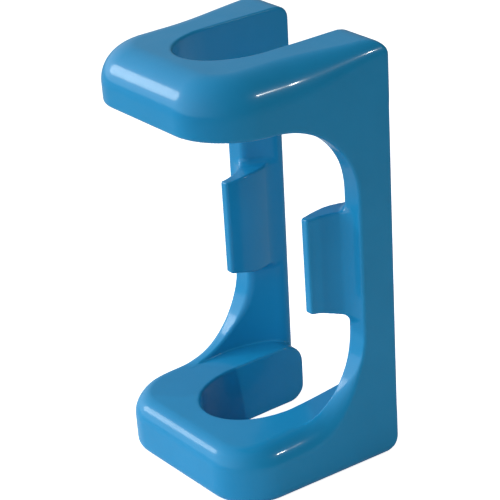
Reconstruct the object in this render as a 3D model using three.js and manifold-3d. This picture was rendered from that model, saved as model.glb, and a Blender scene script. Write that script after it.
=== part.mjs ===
// A one-piece moulded bag clip: two thick U-shaped yokes, one above the other, joined at the rear
// by two spring legs with large C-shaped corner webs, and a thin curved jaw on each leg.
// Units are millimetres. +Z is up, the closed front is towards -Y and the open slots face +Y.
// The origin is under the middle of the clip. The moulding is laid out with its front at y = 0,
// and the last step leans the rear face and moves the clip over the origin.

import * as THREE from "three";
import { mergeVertices } from "three/addons/utils/BufferGeometryUtils.js";
import Module from "manifold-3d";

const wasm = await Module();
wasm.setup();

// ---- driving dimensions ----------------------------------------------------------------
const HEIGHT = 70;
const WIDTH = 35.8;
const DEPTH = 31.4; // at the base; the rear leans back towards the top
const LEAN = 0.09; // share of the depth gained from the base to the top
const HALF = WIDTH / 2;

const LOWER_CORNER = 7.8; // plan radius of the lower yoke's front corners
const UPPER_CORNER = 9.2; // and of the upper yoke's
const REAR_CORNER = 0.8; // plan radius of the two rear corners
const TOP_FILLET = 5.9; // outer top edge of the upper yoke
const LOWER_FILLET = 3.5; // outer top edge of the lower yoke
const BASE_ROUND = 1.6; // outer bottom edge of the lower yoke
const UNDER_ROUND = 0.4; // outer bottom edge of the upper yoke
const REAR_BASE_ROUND = 3; // rear bottom edge, seen from the side
const REAR_TOP_ROUND = 1.7; // rear top edge

const LOWER_YOKE_TOP = 9.4;
const UPPER_YOKE_BOTTOM = 60.4;
const LEG_FRONT = 25.2;
const LOWER_WEB_RADIUS = 12.7;
const UPPER_WEB_RADIUS = 13.2;
const FADE_START = 13; // the lower yoke's side fillet runs out between these depths
const FADE_END = 24;
const FADE_STEPS = 3;

const SLOT_END = 15; // depth of the centre of the slot's closed round end
const SLOT_HALF = 7.9; // half width at the closed end, on the outer face
const SLOT_FLARE = 0.9; // extra half width at the open end
const SLOT_DRAFT = 1.3; // extra half width on the inner face

const CAVITY_RADIUS = 14.8; // round room between the legs
const CAVITY_CENTRE = 19.1;

const JAW_BOTTOM = 26;
const JAW_TOP = 42.4;
const JAW_TIP = 19.6;
const JAW_OUTER = 11.9; // half distance between the jaws' outer tip corners
const JAW_ROOT_RADIUS = 5.4; // concave outer side
const JAW_NOSE = 9.8; // half distance between the jaws at their narrowest
const JAW_NOSE_DEPTH = 22.6;
const JAW_INNER_RADIUS = 12.2; // convex inner side
const JAW_TAIL = 28.3;
const JAW_TAIL_EDGE = 0.2; // the inner side stops this far in front of the tail

const GAP = 0.3; // clearance between neighbouring sub-parts
const LEG_BOTTOM = LOWER_YOKE_TOP + LOWER_WEB_RADIUS + GAP; // where the web arcs end
const LEG_TOP = UPPER_YOKE_BOTTOM - UPPER_WEB_RADIUS - GAP;
const BEYOND = 4; // how far a cutter runs past what it cuts
const ARC_STEPS = 12;
const LEVELS = 6;

// ---- finishes --------------------------------------------------------------------------
const bluePlastic = new THREE.MeshStandardMaterial({ color: 0x2a7ab8, roughness: 0.35, metalness: 0 });
const legPlastic = new THREE.MeshStandardMaterial({ color: 0x2672ad, roughness: 0.35, metalness: 0 });
const jawPlastic = new THREE.MeshStandardMaterial({ color: 0x3183c2, roughness: 0.35, metalness: 0 });

// ---- solids ----------------------------------------------------------------------------
function toSolid(geometry) {
  const bare = geometry.clone();
  bare.deleteAttribute("normal");
  bare.deleteAttribute("uv");
  const merged = mergeVertices(bare, 1e-4);
  const mesh = new wasm.Mesh({
    numProp: 3,
    vertProperties: new Float32Array(merged.attributes.position.array),
    triVerts: new Uint32Array(merged.index.array),
  });
  return new wasm.Manifold(mesh);
}

// Leans the clip's rear and centres the clip over the origin.
function settle(x, y, z) {
  const topDepth = DEPTH * (1 + LEAN);
  return [x, y * (1 + (LEAN * z) / HEIGHT) - topDepth / 2, z];
}

function toMesh(name, solid, material) {
  const { vertProperties, triVerts, numProp } = solid.getMesh();
  const positions = [];
  for (let i = 0; i < vertProperties.length; i += numProp) {
    positions.push(...settle(vertProperties[i], vertProperties[i + 1], vertProperties[i + 2]));
  }
  const geometry = new THREE.BufferGeometry();
  geometry.setAttribute("position", new THREE.Float32BufferAttribute(positions, 3));
  geometry.setIndex(Array.from(triVerts));
  geometry.computeVertexNormals();
  const mesh = new THREE.Mesh(geometry, material);
  mesh.name = name;
  return mesh;
}

function box(x0, x1, y0, y1, z0, z1) {
  const geometry = new THREE.BoxGeometry(x1 - x0, y1 - y0, z1 - z0);
  geometry.translate((x0 + x1) / 2, (y0 + y1) / 2, (z0 + z1) / 2);
  return toSolid(geometry);
}

// A plan outline (x, y) raised from z0 to z1.
function planPrism(shape, z0, z1) {
  const geometry = new THREE.ExtrudeGeometry(shape, {
    depth: z1 - z0,
    bevelEnabled: false,
    curveSegments: ARC_STEPS,
  });
  geometry.translate(0, 0, z0);
  return toSolid(geometry);
}

// A side outline (y, z) carried across from x0 to x1.
function sidePrism(shape, x0, x1) {
  const geometry = new THREE.ExtrudeGeometry(shape, {
    depth: x1 - x0,
    bevelEnabled: false,
    curveSegments: ARC_STEPS,
  });
  const turn = new THREE.Matrix4().makeBasis(
    new THREE.Vector3(0, 1, 0),
    new THREE.Vector3(0, 0, 1),
    new THREE.Vector3(1, 0, 0),
  );
  geometry.applyMatrix4(turn);
  geometry.translate(x0, 0, 0);
  return toSolid(geometry);
}

// A closed body through convex level rings, lowest first, each anticlockwise from above.
function ringSolid(rings) {
  const count = rings[0].length;
  const positions = rings.flat(2);
  const index = [];
  for (let level = 0; level < rings.length - 1; level += 1) {
    for (let i = 0; i < count; i += 1) {
      const next = (i + 1) % count;
      const a = level * count + i;
      const b = level * count + next;
      index.push(a, b, b + count, a, b + count, a + count);
    }
  }
  for (const [ring, upward] of [[rings[0], false], [rings.at(-1), true]]) {
    const start = upward ? (rings.length - 1) * count : 0;
    const centre = positions.length / 3;
    const mean = ring.reduce((sum, p) => [sum[0] + p[0] / count, sum[1] + p[1] / count], [0, 0]);
    positions.push(mean[0], mean[1], ring[0][2]);
    for (let i = 0; i < count; i += 1) {
      const a = start + i;
      const b = start + ((i + 1) % count);
      index.push(...(upward ? [centre, a, b] : [centre, b, a]));
    }
  }
  const geometry = new THREE.BufferGeometry();
  geometry.setAttribute("position", new THREE.Float32BufferAttribute(positions, 3));
  geometry.setIndex(index);
  return toSolid(geometry);
}

function arcPoints(cx, cy, radius, from, to, steps = ARC_STEPS) {
  const points = [];
  for (let i = 0; i <= steps; i += 1) {
    const angle = ((from + ((to - from) * i) / steps) * Math.PI) / 180;
    points.push([cx + radius * Math.cos(angle), cy + radius * Math.sin(angle)]);
  }
  return points;
}

// ---- yokes -----------------------------------------------------------------------------
// One level ring of a yoke: sides and front drawn in by "inset", rear by "rearInset".
// If it fades, the side inset shrinks behind FADE_START and is gone at FADE_END.
function yokeRing(z, frontCorner, inset, rearInset, fades) {
  const share = (y) => (fades ? THREE.MathUtils.clamp((FADE_END - y) / (FADE_END - FADE_START), 0, 1) : 1);
  const side = (y) => HALF - inset * share(y);
  const corner = frontCorner - inset;
  const rearY = DEPTH - rearInset - REAR_CORNER;
  const sideDepths = [];
  for (let i = 1; i <= FADE_STEPS; i += 1) {
    sideDepths.push(FADE_START + ((FADE_END - FADE_START) * i) / FADE_STEPS);
  }
  const rearX = side(DEPTH) - REAR_CORNER;
  const half = [
    ...arcPoints(HALF - frontCorner, frontCorner, corner, 270, 360),
    ...sideDepths.map((y) => [side(y), y]),
    ...arcPoints(rearX, rearY, REAR_CORNER, 0, 90, 4),
  ];
  const mirrored = half.map(([x, y]) => [-x, y]).reverse();
  return [...half, ...mirrored].map(([x, y]) => [x, y, z]);
}

// Level rings of a plate from z0 to z1 with its lower and upper edges rounded.
function yokePlate(z0, z1, corner, lower, upper, rearLower, rearUpper, fades) {
  const drawn = (radius, fromEdge) => {
    const up = Math.max(radius - fromEdge, 0);
    return radius - Math.sqrt(Math.max(radius * radius - up * up, 0));
  };
  const heights = new Set([z0, z1]);
  for (const radius of [lower, rearLower]) {
    for (let i = 1; i <= LEVELS; i += 1) {
      heights.add(z0 + radius * (1 - Math.cos((i * Math.PI) / 2 / LEVELS)));
    }
  }
  for (const radius of [upper, rearUpper]) {
    for (let i = 1; i <= LEVELS; i += 1) {
      heights.add(z1 - radius * (1 - Math.cos((i * Math.PI) / 2 / LEVELS)));
    }
  }
  const levels = [...heights].sort((a, b) => a - b).filter((z, i, all) => !i || z - all[i - 1] > 0.02);
  const rings = levels.map((z) => {
    const inset = z - z0 < lower ? drawn(lower, z - z0) : drawn(upper, z1 - z);
    const rearInset = Math.max(drawn(rearLower, z - z0), drawn(rearUpper, z1 - z));
    return yokeRing(z, corner, inset, rearInset, fades && z - z0 >= lower);
  });
  return ringSolid(rings);
}

// The slot: a round closed end, sides that flare to the open rear, wider on the inner face.
function slotRing(z, extra) {
  const radius = SLOT_HALF + extra;
  const rear = DEPTH + BEYOND;
  const centre = SLOT_END + extra;
  const flare = (SLOT_FLARE * (rear - SLOT_END)) / (DEPTH - SLOT_END);
  const half = [...arcPoints(0, centre, radius, 270, 360), [radius + flare, rear]];
  const mirrored = half.slice(1).map(([x, y]) => [-x, y]).reverse();
  return [...half, ...mirrored].map(([x, y]) => [x, y, z]);
}

function slotCutter(outerZ, innerZ) {
  const slope = SLOT_DRAFT / (innerZ - outerZ);
  const past = Math.sign(innerZ - outerZ);
  const rings = [outerZ - past, innerZ + past].map((z) => slotRing(z, slope * (z - outerZ)));
  return ringSolid(past > 0 ? rings : rings.reverse());
}

// ---- legs and webs ---------------------------------------------------------------------
// Side outline of the clip: a C, open to the front, with round ends at the rear.
function sideOutline() {
  const shape = new THREE.Shape();
  shape.moveTo(0, 0);
  const [low, top] = [REAR_BASE_ROUND, REAR_TOP_ROUND];
  shape.lineTo(DEPTH - low, 0);
  shape.absarc(DEPTH - low, low, low, -Math.PI / 2, 0, false);
  shape.absarc(DEPTH - top, HEIGHT - top, top, 0, Math.PI / 2, false);
  shape.lineTo(0, HEIGHT);
  shape.lineTo(0, UPPER_YOKE_BOTTOM);
  const upperY = LEG_FRONT - UPPER_WEB_RADIUS;
  const upperZ = UPPER_YOKE_BOTTOM - UPPER_WEB_RADIUS;
  shape.absarc(upperY, upperZ, UPPER_WEB_RADIUS, Math.PI / 2, 0, true);
  const lowerY = LEG_FRONT - LOWER_WEB_RADIUS;
  const lowerZ = LOWER_YOKE_TOP + LOWER_WEB_RADIUS;
  shape.absarc(lowerY, lowerZ, LOWER_WEB_RADIUS, 0, -Math.PI / 2, true);
  shape.lineTo(0, LOWER_YOKE_TOP);
  return shape;
}

// The room between the legs: round at the rear, straight-sided towards the front.
function cavity() {
  const shape = new THREE.Shape();
  shape.moveTo(-CAVITY_RADIUS, -BEYOND);
  shape.lineTo(CAVITY_RADIUS, -BEYOND);
  shape.absarc(0, CAVITY_CENTRE, CAVITY_RADIUS, 0, Math.PI, false);
  return planPrism(shape, -BEYOND, HEIGHT + BEYOND);
}

// Both side walls of the clip, from the base to the top.
function sideWalls() {
  return sidePrism(sideOutline(), -HALF, HALF).subtract(cavity());
}

function slice(solid, side, z0, z1) {
  const [x0, x1] = side > 0 ? [0, HALF + BEYOND] : [-HALF - BEYOND, 0];
  return solid.intersect(box(x0, x1, -BEYOND, DEPTH + BEYOND, z0, z1));
}

// ---- jaws ------------------------------------------------------------------------------
// Plan outline of the right jaw, mirrored for the left one.
function jaw(side) {
  const place = (points) => points.map(([x, y]) => new THREE.Vector2(side * x, y));
  const legFace = LEG_FRONT - GAP;
  const outerTurn = (Math.asin((legFace - JAW_TIP) / JAW_ROOT_RADIUS) * 180) / Math.PI;
  const outerCentre = JAW_OUTER + JAW_ROOT_RADIUS;
  const outer = arcPoints(outerCentre, JAW_TIP, JAW_ROOT_RADIUS, 180, 180 - outerTurn);
  const wall = CAVITY_RADIUS - GAP;
  const turn = (y) => (Math.asin((y - CAVITY_CENTRE) / wall) * 180) / Math.PI;
  const root = arcPoints(0, CAVITY_CENTRE, wall, turn(legFace), turn(JAW_TAIL));
  const noseCentre = JAW_NOSE + JAW_INNER_RADIUS;
  const back = (y) => 180 - (Math.asin((y - JAW_NOSE_DEPTH) / JAW_INNER_RADIUS) * 180) / Math.PI;
  const [innerFrom, innerTo] = [back(JAW_TAIL - JAW_TAIL_EDGE), back(JAW_TIP)];
  const inner = arcPoints(noseCentre, JAW_NOSE_DEPTH, JAW_INNER_RADIUS, innerFrom, innerTo);
  const outline = new THREE.Shape(place([...outer, ...root, ...inner]));
  return planPrism(outline, JAW_BOTTOM, JAW_TOP);
}

// ---- the clip --------------------------------------------------------------------------
const clip = new THREE.Group();
const walls = sideWalls();

function lowerYoke() {
  const thickness = [0, LOWER_YOKE_TOP];
  const rounds = [BASE_ROUND, LOWER_FILLET, REAR_BASE_ROUND, UNDER_ROUND];
  const plate = yokePlate(...thickness, LOWER_CORNER, ...rounds, true);
  return plate.subtract(slotCutter(0, LOWER_YOKE_TOP));
}

function upperYoke() {
  const thickness = [UPPER_YOKE_BOTTOM, HEIGHT];
  const rounds = [UNDER_ROUND, TOP_FILLET, UNDER_ROUND, REAR_TOP_ROUND];
  const plate = yokePlate(...thickness, UPPER_CORNER, ...rounds, false);
  return plate.subtract(slotCutter(HEIGHT, UPPER_YOKE_BOTTOM));
}

clip.add(toMesh("bottom_yoke", lowerYoke(), bluePlastic));
clip.add(toMesh("top_yoke", upperYoke(), bluePlastic));
for (const [label, side] of [["left", -1], ["right", 1]]) {
  const lowerWeb = slice(walls, side, LOWER_YOKE_TOP + GAP, LEG_BOTTOM - GAP);
  const upperWeb = slice(walls, side, LEG_TOP + GAP, UPPER_YOKE_BOTTOM - GAP);
  clip.add(toMesh(`${label}_lower_web`, lowerWeb, bluePlastic));
  clip.add(toMesh(`${label}_upper_web`, upperWeb, bluePlastic));
  clip.add(toMesh(`${label}_spring_leg`, slice(walls, side, LEG_BOTTOM, LEG_TOP), legPlastic));
  clip.add(toMesh(`${label}_jaw`, jaw(side), jawPlastic));
}

export default clip;
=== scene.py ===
"""Looks of a one-piece moulded bag clip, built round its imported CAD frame.

The clip's skin is one smooth implicit surface, in millimetres, laid out upright with its front at
y = 0. It is meshed once, cut into the ten members that the CAD model has, leaned back and moved
into the frame, in metres.
"""

import math

import bmesh
import bpy
import numpy as np
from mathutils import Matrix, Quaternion, Vector


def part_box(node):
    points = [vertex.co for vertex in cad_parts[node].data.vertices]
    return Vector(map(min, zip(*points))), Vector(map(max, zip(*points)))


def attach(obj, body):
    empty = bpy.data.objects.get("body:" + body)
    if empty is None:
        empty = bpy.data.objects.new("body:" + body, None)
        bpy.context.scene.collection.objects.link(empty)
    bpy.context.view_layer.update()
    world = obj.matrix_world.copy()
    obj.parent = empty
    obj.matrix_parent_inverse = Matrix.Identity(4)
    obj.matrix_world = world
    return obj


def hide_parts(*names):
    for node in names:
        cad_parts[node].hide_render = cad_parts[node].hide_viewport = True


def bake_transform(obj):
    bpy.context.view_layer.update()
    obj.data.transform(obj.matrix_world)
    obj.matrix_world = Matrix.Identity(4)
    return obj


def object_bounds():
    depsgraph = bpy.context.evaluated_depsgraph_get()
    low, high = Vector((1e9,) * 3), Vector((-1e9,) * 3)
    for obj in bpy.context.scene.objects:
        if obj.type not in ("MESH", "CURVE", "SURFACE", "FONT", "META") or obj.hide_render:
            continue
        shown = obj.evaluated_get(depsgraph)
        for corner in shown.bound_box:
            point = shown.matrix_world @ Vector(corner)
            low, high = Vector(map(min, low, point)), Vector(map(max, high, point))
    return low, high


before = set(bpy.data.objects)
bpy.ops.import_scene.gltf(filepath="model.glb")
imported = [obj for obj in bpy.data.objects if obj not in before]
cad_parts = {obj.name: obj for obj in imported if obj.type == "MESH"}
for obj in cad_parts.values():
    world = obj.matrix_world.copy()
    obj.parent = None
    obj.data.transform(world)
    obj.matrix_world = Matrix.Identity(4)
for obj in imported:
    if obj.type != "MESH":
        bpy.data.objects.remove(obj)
cad_low, cad_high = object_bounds()

# ---- driving dimensions, mm ------------------------------------------------------------------
MM = 0.001
LEAN = 0.09  # share of the depth gained from the base to the top
HEIGHT = (cad_high.z - cad_low.z) / MM
HALF = (cad_high.x - cad_low.x) / MM / 2
DEPTH = 31.4
SHIFT = DEPTH * (1 + LEAN) / 2  # puts the middle of the leaning top over the origin

# A span is where a ramp starts and ends.
LOWER_CORNER, UPPER_CORNER = 8.1, 9.2  # plan radius of the front corners of each yoke
CORNER_LEVELS = (10, 58)
TOP_FILLET, TOP_REAR_FILLET = 5.6, 2.5  # outer top edge of the upper yoke, front and rear
TOP_FILLET_SPAN = (14, DEPTH)
BASE_ROUND = 1.6  # outer bottom edge of the lower yoke
REAR_TOP_ROUND = 2.4  # rear ends, seen from the side
REAR_BASE_ROUND = 2.98
REAR_EDGE = 0.60  # upright outer edges of the rear
REAR_EDGE_SPAN = (DEPTH - 3, DEPTH - REAR_EDGE)

LOWER_YOKE_TOP = 8.91  # levels of the yokes' inner faces at the front
UPPER_YOKE_BOTTOM = 61.34
LOWER_RISE, UPPER_DROP = 0.053, 0.088  # and their slopes towards the rear
FRONT_FILLET = 3.2  # outer top edge of the lower yoke
LEFT_FILLET, RIGHT_FILLET = 2.0, 4.0
FRONT_TO_SIDE = (2, 10)  # depths over which the front fillet turns into the side ones
LEFT_TO_RIGHT = (-6, 6)  # and widths over which the left one turns into the right one
FILLET_END = (17.0, 25.76)  # where the side fillet runs out, in depth
FILLET_TOP = (14, 19)  # and in height
WINDOW_EDGE = 0.5
LEG_FRONT = 25.15
LOWER_WEB_RADIUS = 12.65
UPPER_WEB_RADIUS = 13.22

CAVITY_RADIUS = 14.8  # walls round the room between the legs, in plan
CAVITY_CENTRE = 19.1
LEDGE_FILLET = 0.25  # where those walls meet the yokes
LEG_REAR_ROUND = 2.78

SLOT_ROUND = 0.86  # below 1, the closed end is longer than a half circle
SLOT_EDGE = 0.4
SLOT_MOUTH = 8.05  # half width at the rear
LOWER_BULLNOSE, UPPER_BULLNOSE = 4.02, 2.16  # rear ends of the yokes, slot side

MIDDLE_EDGE, MIDDLE_SPAN = 0.5, (12.5, 17.5)  # radius added to the window's inner edge
LEG_EDGE, LEG_SPAN = 0.4, (22, 25)
INNER_REAR_EDGE, REAR_SPAN = 0.4, (26, 29.5)
LOWER_FACE_LEVELS = (2.5, 4)  # where the slot's edges at the outer faces take over
UPPER_FACE_LEVELS = (66, 67.5)

JAW_BOTTOM, JAW_TOP = 26.07, 42.24  # levels at the tip
JAW_ROOT_DROP, JAW_ROOT_RISE = 0.99, 0.49  # taller by this at the root
JAW_TIP = 19.57  # depth
JAW_OUTER, JAW_OUTER_RADIUS = 11.88, 7.0  # hollow side
JAW_NOSE, JAW_NOSE_DEPTH = 9.77, 22.61  # the point nearest to the other jaw
JAW_INNER_RADIUS = 12.2
JAW_EDGE = 0.35
JAW_ROOT_FILLET = 1.3
JAW_REACH, JAW_TAIL = 16.4, 29.6  # inside the leg

GRID = 0.36  # pitch of the skin's mesh
LEAST_SLOPE = 0.05  # squared; keeps a step finite where the field is flat
EASING = 0.5  # share of the way to even quads in one round
LOWER_CUT, UPPER_CUT = 12.0, 58.0  # levels where the yokes end and the webs start
LEG_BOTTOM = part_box("left_spring_leg")[0].z / MM
LEG_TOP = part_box("left_spring_leg")[1].z / MM
JAW_CUT = 24.25  # depth where the jaw ends and the leg starts


# ---- implicit surface ------------------------------------------------------------------------
def meet(a, b, radius):
    """What is inside both, its outer edge rounded."""
    corner = np.hypot(np.maximum(a + radius, 0), np.maximum(b + radius, 0))
    return np.minimum(np.maximum(a, b), -radius) + corner


def join(a, b, radius):
    """What is inside either, its inner edge filleted."""
    return -meet(-a, -b, radius)


def ramp(value, span):
    """From 0 at the start of the span to 1 at its end, smoothly."""
    start, end = span
    share = np.clip((value - start) / (end - start), 0, 1)
    return share * share * (3 - 2 * share)


def mix(a, b, share):
    return a + (b - a) * share


def envelope(x, y, z):
    """Outer form without its openings."""
    corner = mix(LOWER_CORNER, UPPER_CORNER, ramp(z, CORNER_LEVELS))
    walls = meet(x - HALF, -y, corner)
    top = mix(TOP_FILLET, TOP_REAR_FILLET, ramp(y, TOP_FILLET_SPAN))
    body = meet(meet(walls, z - HEIGHT, top), -z, BASE_ROUND)
    rear = meet(meet(y - DEPTH, z - HEIGHT, REAR_TOP_ROUND), -z, REAR_BASE_ROUND)
    return meet(body, rear, REAR_EDGE * ramp(y, REAR_EDGE_SPAN))


def above_lower_yoke(y, z):
    return z - LOWER_YOKE_TOP - LOWER_RISE * y


def below_upper_yoke(y, z):
    return UPPER_YOKE_BOTTOM - UPPER_DROP * y - z


def side_profile(y, z):
    """Seen from the side: two yokes and the legs behind the C-shaped window."""
    lower = join(above_lower_yoke(y, z), LEG_FRONT - y, LOWER_WEB_RADIUS)
    return join(lower, below_upper_yoke(y, z), UPPER_WEB_RADIUS)


def window_edge(x, y, z):
    """Radius between the outer side and the window; softer on the right of the lower yoke."""
    low = (1 - ramp(y, FILLET_END)) * (1 - ramp(z, FILLET_TOP))
    side = mix(LEFT_FILLET, RIGHT_FILLET, ramp(x, LEFT_TO_RIGHT))
    fillet = mix(FRONT_FILLET, side, ramp(y, FRONT_TO_SIDE))
    return mix(WINDOW_EDGE, fillet, low)


def slot(x, y, up, shape):
    """A slot through one yoke; "up" is the height above the yoke's outer face."""
    draft = shape["draft"] * up / shape["thickness"]
    centre = shape["end"] + draft
    narrowing = ramp(y, (shape["end"] + shape["draft"], DEPTH))
    half = mix(shape["half"] + draft, SLOT_MOUTH, narrowing)
    return np.where(y > centre, x, np.hypot(x, (y - centre) * SLOT_ROUND)) - half


LOWER_SLOT = {"end": 15.7, "half": 7.67, "draft": 1.14, "thickness": LOWER_YOKE_TOP}
UPPER_THICKNESS = HEIGHT - UPPER_YOKE_BOTTOM
UPPER_SLOT = {"end": 16.7, "half": 8.18, "draft": 1.47, "thickness": UPPER_THICKNESS}


def inner_form(x, y, z):
    """The walls round the room between the legs, and the yokes with their slots cut out."""
    walls = CAVITY_RADIUS - np.hypot(x, np.maximum(y - CAVITY_CENTRE, 0))
    walls = meet(walls, y - DEPTH, LEG_REAR_ROUND)
    lower = meet(above_lower_yoke(y, z), y - DEPTH, LOWER_BULLNOSE)
    lower = meet(lower, -slot(x, y, z, LOWER_SLOT), SLOT_EDGE)
    upper = meet(below_upper_yoke(y, z), y - DEPTH, UPPER_BULLNOSE)
    upper = meet(upper, -slot(x, y, HEIGHT - z, UPPER_SLOT), SLOT_EDGE)
    return join(join(walls, lower, LEDGE_FILLET), upper, LEDGE_FILLET)


def inner_edge(y, z):
    """Radius where the inner form meets the window and the rear."""
    front = MIDDLE_EDGE * ramp(y, MIDDLE_SPAN) + LEG_EDGE * ramp(y, LEG_SPAN)
    radius = mix(front, INNER_REAR_EDGE, ramp(y, REAR_SPAN))
    outer_face = 1 - ramp(z, LOWER_FACE_LEVELS) + ramp(z, UPPER_FACE_LEVELS)
    return mix(radius, SLOT_EDGE, outer_face)


def jaw(x, y, z):
    outer = JAW_OUTER_RADIUS - np.hypot(x - JAW_OUTER - JAW_OUTER_RADIUS, y - JAW_TIP)
    inner = np.hypot(x - JAW_NOSE - JAW_INNER_RADIUS, y - JAW_NOSE_DEPTH) - JAW_INNER_RADIUS
    plan = meet(np.maximum(outer, inner), JAW_TIP - y, JAW_EDGE)
    plan = np.maximum(plan, np.maximum(x - JAW_REACH, y - JAW_TAIL))
    root = ramp(y, (JAW_TIP, LEG_FRONT))
    top = z - JAW_TOP - JAW_ROOT_RISE * root
    bottom = JAW_BOTTOM - JAW_ROOT_DROP * root - z
    return meet(meet(plan, top, JAW_EDGE), bottom, JAW_EDGE)


def clip_field(points):
    """Negative inside the clip, about the distance in mm."""
    x, y, z = np.abs(points[..., 0]), points[..., 1], points[..., 2]
    outer = meet(envelope(x, y, z), side_profile(y, z), window_edge(points[..., 0], y, z))
    body = meet(outer, inner_form(x, y, z), inner_edge(y, z))
    return join(body, jaw(x, y, z), JAW_ROOT_FILLET)


def slope_of(points, step=0.01):
    """Gradient of the field."""
    result = np.empty_like(points)
    for axis in range(3):
        offset = np.zeros(3)
        offset[axis] = step
        result[:, axis] = clip_field(points + offset) - clip_field(points - offset)
    return result / (2 * step)


# ---- skin mesh -------------------------------------------------------------------------------
def grid_axis(low, high):
    """Grid places along one axis, even about the middle, with an odd count."""
    count = math.ceil((high - low) / GRID / 2) * 2 + 1
    middle = (low + high) / 2
    return middle + GRID * (np.arange(count) - (count - 1) / 2)


def surface_net(axes, values):
    """Quads round the zero level of a field on a grid, one vertex in each cell that it crosses."""
    inside = values < 0
    shape = np.array(values.shape)
    cell_shape = shape - 1
    total = np.zeros((*cell_shape, 3))
    count = np.zeros(cell_shape)
    faces = []
    for axis in range(3):
        first = [slice(None)] * 3
        second = [slice(None)] * 3
        first[axis], second[axis] = slice(0, -1), slice(1, None)
        a, b = inside[tuple(first)], inside[tuple(second)]
        at = np.argwhere(a != b)
        low = values[tuple(first)][tuple(at.T)]
        high = values[tuple(second)][tuple(at.T)]
        crossing = at.astype(float)
        crossing[:, axis] += low / (low - high)
        others = [other for other in range(3) if other != axis]
        kept = np.ones(len(at), bool)
        for other in others:
            kept &= (at[:, other] > 0) & (at[:, other] < cell_shape[other])
        at, crossing = at[kept], crossing[kept]
        leaving = a[tuple(at.T)]
        around = []
        for du, dv in ((0, 0), (1, 0), (1, 1), (0, 1)):
            cell = at.copy()
            cell[:, others[0]] -= du
            cell[:, others[1]] -= dv
            np.add.at(total, tuple(cell.T), crossing)
            np.add.at(count, tuple(cell.T), 1)
            around.append(np.ravel_multi_index(tuple(cell.T), cell_shape))
        quads = np.stack(around, axis=1)
        turned = leaving if axis != 1 else ~leaving
        quads[turned] = quads[turned][:, ::-1]
        faces.append(quads[:, ::-1])
    used = np.flatnonzero(count.ravel())
    number = np.full(count.size, -1)
    number[used] = np.arange(len(used))
    places = total.reshape(-1, 3)[used] / count.ravel()[used][:, None]
    origin = np.array([axis[0] for axis in axes])
    return places * GRID + origin, number[np.concatenate(faces)]


def onto_surface(points, rounds):
    """Moves points along the slope to the field's zero level."""
    for _ in range(rounds):
        slope = slope_of(points)
        steep = np.maximum((slope * slope).sum(axis=1), LEAST_SLOPE)
        step = clip_field(points) / steep
        points = points - slope * step[:, None]
    return points


def evened(points, faces, rounds):
    """Slides the vertices along the surface until the quads are even."""
    start = faces.ravel()
    end = np.roll(faces, -1, axis=1).ravel()
    degree = np.bincount(start, minlength=len(points)).astype(float)
    for _ in range(rounds):
        sums = [np.bincount(start, points[end, axis], len(points)) for axis in range(3)]
        pull = np.stack(sums, axis=1) / degree[:, None] - points
        normal = slope_of(points)
        normal /= np.linalg.norm(normal, axis=1)[:, None]
        pull -= normal * (pull * normal).sum(axis=1)[:, None]
        points = onto_surface(points + EASING * pull, rounds=1)
    return points


def make_skin():
    margin = 2 * GRID
    axes = [
        grid_axis(-HALF - margin, HALF + margin),
        grid_axis(-margin, DEPTH + margin),
        grid_axis(-margin, HEIGHT + margin),
    ]
    grid = np.stack(np.meshgrid(*axes, indexing="ij"), axis=-1)
    points, faces = surface_net(axes, clip_field(grid))
    points = onto_surface(points, rounds=4)
    points = evened(points, faces, rounds=4)
    return onto_surface(points, rounds=3), faces


def settle(points):
    """Leans the clip and centres it over the origin, in metres."""
    lean = 1 + LEAN * points[:, 2] / HEIGHT
    placed = points.copy()
    placed[:, 1] = points[:, 1] * lean - SHIFT
    return placed * MM


def settle_normals(points, normals):
    """The normals after that lean."""
    lean = 1 + LEAN * points[:, 2] / HEIGHT
    turned = normals.copy()
    turned[:, 1] = normals[:, 1] / lean
    turned[:, 2] = normals[:, 2] - LEAN * points[:, 1] / HEIGHT * turned[:, 1]
    return turned / np.linalg.norm(turned, axis=1)[:, None]


def cut_skin(points, faces):
    """The skin as one bmesh, with edges along every cut."""
    mesh = bpy.data.meshes.new("skin")
    mesh.from_pydata(points.tolist(), [], faces.tolist())
    whole = bmesh.new()
    whole.from_mesh(mesh)
    bpy.data.meshes.remove(mesh)
    cuts = [((0, 0, level), (0, 0, 1)) for level in (LOWER_CUT, LEG_BOTTOM, LEG_TOP, UPPER_CUT)]
    cuts.append(((0, JAW_CUT, 0), (0, 1, 0)))
    for place, direction in cuts:
        everything = whole.verts[:] + whole.edges[:] + whole.faces[:]
        bmesh.ops.bisect_plane(
            whole, geom=everything, dist=1e-5, plane_co=place, plane_no=direction
        )
    return whole


def member_of(centre):
    """Name of the member that a face belongs to."""
    x, y, z = centre
    side = "left" if x < 0 else "right"
    if z < LOWER_CUT:
        return "bottom_yoke"
    if z > UPPER_CUT:
        return "top_yoke"
    if z < LEG_BOTTOM:
        return side + "_lower_web"
    if z > LEG_TOP:
        return side + "_upper_web"
    return side + ("_jaw" if y < JAW_CUT else "_spring_leg")


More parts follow.
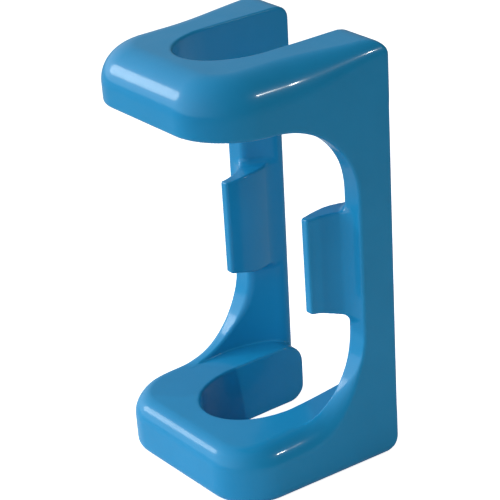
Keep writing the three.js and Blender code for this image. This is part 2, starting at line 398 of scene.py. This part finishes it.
def member_mesh(name, whole, kept):
    """One closed member: its share of the skin, with flat ends where it was cut."""
    part = whole.copy()
    part.faces.ensure_lookup_table()
    extra = [part.faces[i] for i in range(len(part.faces)) if i not in kept]
    bmesh.ops.delete(part, geom=extra, context="FACES")
    skin_faces = len(part.faces)
    open_edges = [edge for edge in part.edges if edge.is_boundary]
    bmesh.ops.edgeloop_fill(part, edges=open_edges)
    bmesh.ops.recalc_face_normals(part, faces=part.faces[:])
    mesh = bpy.data.meshes.new(name)
    part.to_mesh(mesh)
    part.free()
    places = np.empty(len(mesh.vertices) * 3)
    mesh.vertices.foreach_get("co", places)
    places = places.reshape(-1, 3)
    normals = settle_normals(places, slope_of(places))
    mesh.vertices.foreach_set("co", settle(places).ravel())
    mesh.update()
    loop_vertices = np.empty(len(mesh.loops), int)
    mesh.loops.foreach_get("vertex_index", loop_vertices)
    loop_normals = normals[loop_vertices]
    for polygon in mesh.polygons[skin_faces:]:
        loop_normals[polygon.loop_start : polygon.loop_start + polygon.loop_total] = polygon.normal
    mesh.polygons.foreach_set("use_smooth", np.ones(len(mesh.polygons), bool))
    mesh.normals_split_custom_set(loop_normals.tolist())
    return mesh


# ---- material --------------------------------------------------------------------------------
def link(tree, source, output, target, entry):
    tree.links.new(source.outputs[output], target.inputs[entry])


def noise(tree, coordinates, scale, detail, roughness=0.5):
    node = tree.nodes.new("ShaderNodeTexNoise")
    node.inputs["Scale"].default_value = scale
    node.inputs["Detail"].default_value = detail
    node.inputs["Roughness"].default_value = roughness
    link(tree, coordinates, "Object", node, "Vector")
    return node


def remap(tree, source, output, taken, given):
    """Maps one range of values onto another."""
    node = tree.nodes.new("ShaderNodeMapRange")
    node.inputs["From Min"].default_value = taken[0]
    node.inputs["From Max"].default_value = taken[1]
    node.inputs["To Min"].default_value = given[0]
    node.inputs["To Max"].default_value = given[1]
    link(tree, source, output, node, "Value")
    return node


def blend_colours(tree, source, output, stops):
    """A colour ramp with two stops, each a place and a colour."""
    node = tree.nodes.new("ShaderNodeValToRGB")
    for element, (place, colour) in zip(node.color_ramp.elements, stops):
        element.position = place
        element.color = (*colour, 1)
    link(tree, source, output, node, "Fac")
    return node


def bump(tree, source, strength, height):
    node = tree.nodes.new("ShaderNodeBump")
    node.inputs["Strength"].default_value = strength
    node.inputs["Distance"].default_value = height
    link(tree, source, "Fac", node, "Height")
    return node


DEEP_BLUE, PALE_BLUE = (0.012, 0.285, 0.54), (0.014, 0.305, 0.575)
SHEEN_ROUGHNESS = (0.28, 0.36)
WAVE_HEIGHT, GRAIN_HEIGHT = 0.4 * MM, 0.06 * MM
BUMP_STRENGTH = 0.10


def blue_plastic():
    """Satin moulded plastic: faint clouds of colour, uneven sheen, slow waves and a fine grain."""
    material = bpy.data.materials.new("blue_plastic")
    material.use_nodes = True
    tree = material.node_tree
    shader = tree.nodes["Principled BSDF"]
    shader.inputs["IOR"].default_value = 1.49
    shader.inputs["Specular IOR Level"].default_value = 0.15
    shader.inputs["Coat Weight"].default_value = 0.3
    shader.inputs["Coat Roughness"].default_value = 0.1
    coordinates = tree.nodes.new("ShaderNodeTexCoord")

    cloud = noise(tree, coordinates, scale=90, detail=3)
    colours = blend_colours(tree, cloud, "Fac", ((0.3, DEEP_BLUE), (0.7, PALE_BLUE)))
    link(tree, colours, "Color", shader, "Base Color")

    sheen = noise(tree, coordinates, scale=260, detail=4, roughness=0.6)
    roughness = remap(tree, sheen, "Fac", (0.3, 0.7), SHEEN_ROUGHNESS)
    link(tree, roughness, "Result", shader, "Roughness")

    waves = bump(tree, noise(tree, coordinates, scale=160, detail=2), BUMP_STRENGTH, WAVE_HEIGHT)
    grain = bump(tree, noise(tree, coordinates, scale=1500, detail=2), BUMP_STRENGTH, GRAIN_HEIGHT)
    link(tree, waves, "Normal", grain, "Normal")
    link(tree, grain, "Normal", shader, "Normal")
    return material


def fit_member(piece, name):
    """Hides the CAD node that the member stands for, and parents the member to the body it moves
    with; a web is only baked in place.
    """
    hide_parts(name)
    side, _, rest = name.partition("_")
    if name.endswith("_yoke"):
        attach(piece, "frame")
    elif rest == "lower_web":
        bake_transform(piece)
    elif rest == "upper_web":
        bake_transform(piece)
    else:
        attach(piece, side + "_spring_arm")


def make_clip():
    points, faces = make_skin()
    whole = cut_skin(points, faces)
    shares = {}
    for index, face in enumerate(whole.faces):
        shares.setdefault(member_of(face.calc_center_median()), set()).add(index)
    material = blue_plastic()
    for name in sorted(shares):
        mesh = member_mesh(name + "_skin", whole, shares[name])
        mesh.materials.append(material)
        piece = bpy.data.objects.new(name + "_skin", mesh)
        bpy.context.scene.collection.objects.link(piece)
        fit_member(piece, name)
    whole.free()


# ---- stage -----------------------------------------------------------------------------------
TARGET = Vector((0.811, -0.196, 35.057)) * MM  # what the camera and the lights look at
CAMERA_DISTANCE = 365.35 * MM
CAMERA_AZIMUTH = math.radians(56.64)
CAMERA_ELEVATION = math.radians(23.76)
CAMERA_ROLL = math.radians(-5.03)
CAMERA_LENS = 164.93


def add_aimed(name, data, back, distance, roll=0.0):
    """Adds a camera or a light at that distance from the target, looking at it."""
    item = bpy.data.objects.new(name, data)
    item.location = TARGET + back * distance
    item.rotation_mode = "QUATERNION"
    item.rotation_quaternion = (-back).to_track_quat("-Z", "Y") @ Quaternion((0, 0, 1), roll)
    bpy.context.scene.collection.objects.link(item)
    return item


def make_camera():
    data = bpy.data.cameras.new("camera")
    data.lens = CAMERA_LENS
    data.sensor_width = 36
    data.clip_start = 0.01
    level = math.cos(CAMERA_ELEVATION)
    sideways = math.sin(CAMERA_AZIMUTH) * level
    forwards = -math.cos(CAMERA_AZIMUTH) * level
    back = Vector((sideways, forwards, math.sin(CAMERA_ELEVATION)))
    camera = add_aimed("camera", data, back, CAMERA_DISTANCE, CAMERA_ROLL)
    bpy.context.scene.camera = camera


def soft_light(name, direction, distance, size, power, colour):
    """A round light; distance and size in metres, power in watts."""
    data = bpy.data.lights.new(name, "AREA")
    data.shape = "DISK"
    data.size = size
    data.energy = power
    data.color = colour
    add_aimed(name, data, Vector(direction).normalized(), distance)


def make_lights():
    cool, warm = (0.90, 0.98, 1.0), (1.0, 0.98, 0.94)
    soft_light("left_window", (-0.81, -0.46, 0.41), 0.6, 0.19, 0.85, cool)
    soft_light("right_lamp", (0.671, 0.473, 0.572), 0.577, 0.012, 0.45, warm)


def white_for_camera(tree, seen, lit, target):
    """Shows one shader to the camera, and lights the clip with the other."""
    path = tree.nodes.new("ShaderNodeLightPath")
    choice = tree.nodes.new("ShaderNodeMixShader")
    link(tree, path, "Is Camera Ray", choice, "Fac")
    tree.links.new(lit, choice.inputs[1])
    tree.links.new(seen, choice.inputs[2])
    link(tree, choice, "Shader", target, "Surface")


ROOM_STRENGTH = 2.45
ROOM_BRIGHT_SIDE = (-0.56, -0.83, 0)
ROOM_CONTRAST = 3
ROOM_DARK, ROOM_BRIGHT = (0.03, 0.028, 0.025), (0.79, 0.89, 1.0)


def make_world():
    """A room that is brighter and a little bluer in front and on the left."""
    world = bpy.data.worlds.new("white_room")
    bpy.context.scene.world = world
    world.use_nodes = True
    tree = world.node_tree
    direction = tree.nodes.new("ShaderNodeTexCoord")
    towards = tree.nodes.new("ShaderNodeVectorMath")
    towards.operation = "DOT_PRODUCT"
    towards.inputs[1].default_value = ROOM_BRIGHT_SIDE
    link(tree, direction, "Generated", towards, 0)
    share = remap(tree, towards, "Value", (-1, 1), (0, 1))
    steeper = tree.nodes.new("ShaderNodeMath")
    steeper.operation = "POWER"
    steeper.inputs[1].default_value = ROOM_CONTRAST
    link(tree, share, "Result", steeper, 0)
    colours = blend_colours(tree, steeper, "Value", ((0, ROOM_DARK), (1, ROOM_BRIGHT)))
    lit = tree.nodes["Background"]
    link(tree, colours, "Color", lit, "Color")
    lit.inputs["Strength"].default_value = ROOM_STRENGTH
    seen = tree.nodes.new("ShaderNodeBackground")
    seen.inputs["Color"].default_value = (1, 1, 1, 1)
    seen.inputs["Strength"].default_value = 1.0
    white_for_camera(tree, seen.outputs[0], lit.outputs[0], tree.nodes["World Output"])


FLOOR_HALF = 3.0  # half of its side, m
FLOOR_GAP = 0.05 * MM
FLOOR_FADE = (0.06, 0.25)  # distances from the origin, m
FLOOR_ALBEDO = (0.95, 0.35)  # at those distances
FLOOR_GLOW = 0.9


def make_floor():
    """White in view; the light that it throws back comes from close round the clip."""
    mesh = bpy.data.meshes.new("floor")
    side = FLOOR_HALF
    corners = [(-side, -side, 0), (side, -side, 0), (side, side, 0), (-side, side, 0)]
    mesh.from_pydata(corners, [], [(0, 1, 2, 3)])
    floor = bpy.data.objects.new("floor", mesh)
    floor.location.z = cad_low.z - FLOOR_GAP
    material = bpy.data.materials.new("white_floor")
    material.use_nodes = True
    tree = material.node_tree
    tree.nodes.remove(tree.nodes["Principled BSDF"])
    place = tree.nodes.new("ShaderNodeTexCoord")
    distance = tree.nodes.new("ShaderNodeVectorMath")
    distance.operation = "LENGTH"
    link(tree, place, "Object", distance, 0)
    albedo = remap(tree, distance, "Value", FLOOR_FADE, FLOOR_ALBEDO)
    lit = tree.nodes.new("ShaderNodeBsdfDiffuse")
    link(tree, albedo, "Result", lit, "Color")
    glow = tree.nodes.new("ShaderNodeEmission")
    glow.inputs["Strength"].default_value = FLOOR_GLOW
    seen = tree.nodes.new("ShaderNodeAddShader")
    tree.links.new(lit.outputs[0], seen.inputs[0])
    tree.links.new(glow.outputs[0], seen.inputs[1])
    white_for_camera(tree, seen.outputs[0], lit.outputs[0], tree.nodes["Material Output"])
    mesh.materials.append(material)
    bpy.context.scene.collection.objects.link(floor)


make_camera()
make_clip()
make_lights()
make_world()
make_floor()
bpy.context.scene.view_settings.view_transform = "Standard"
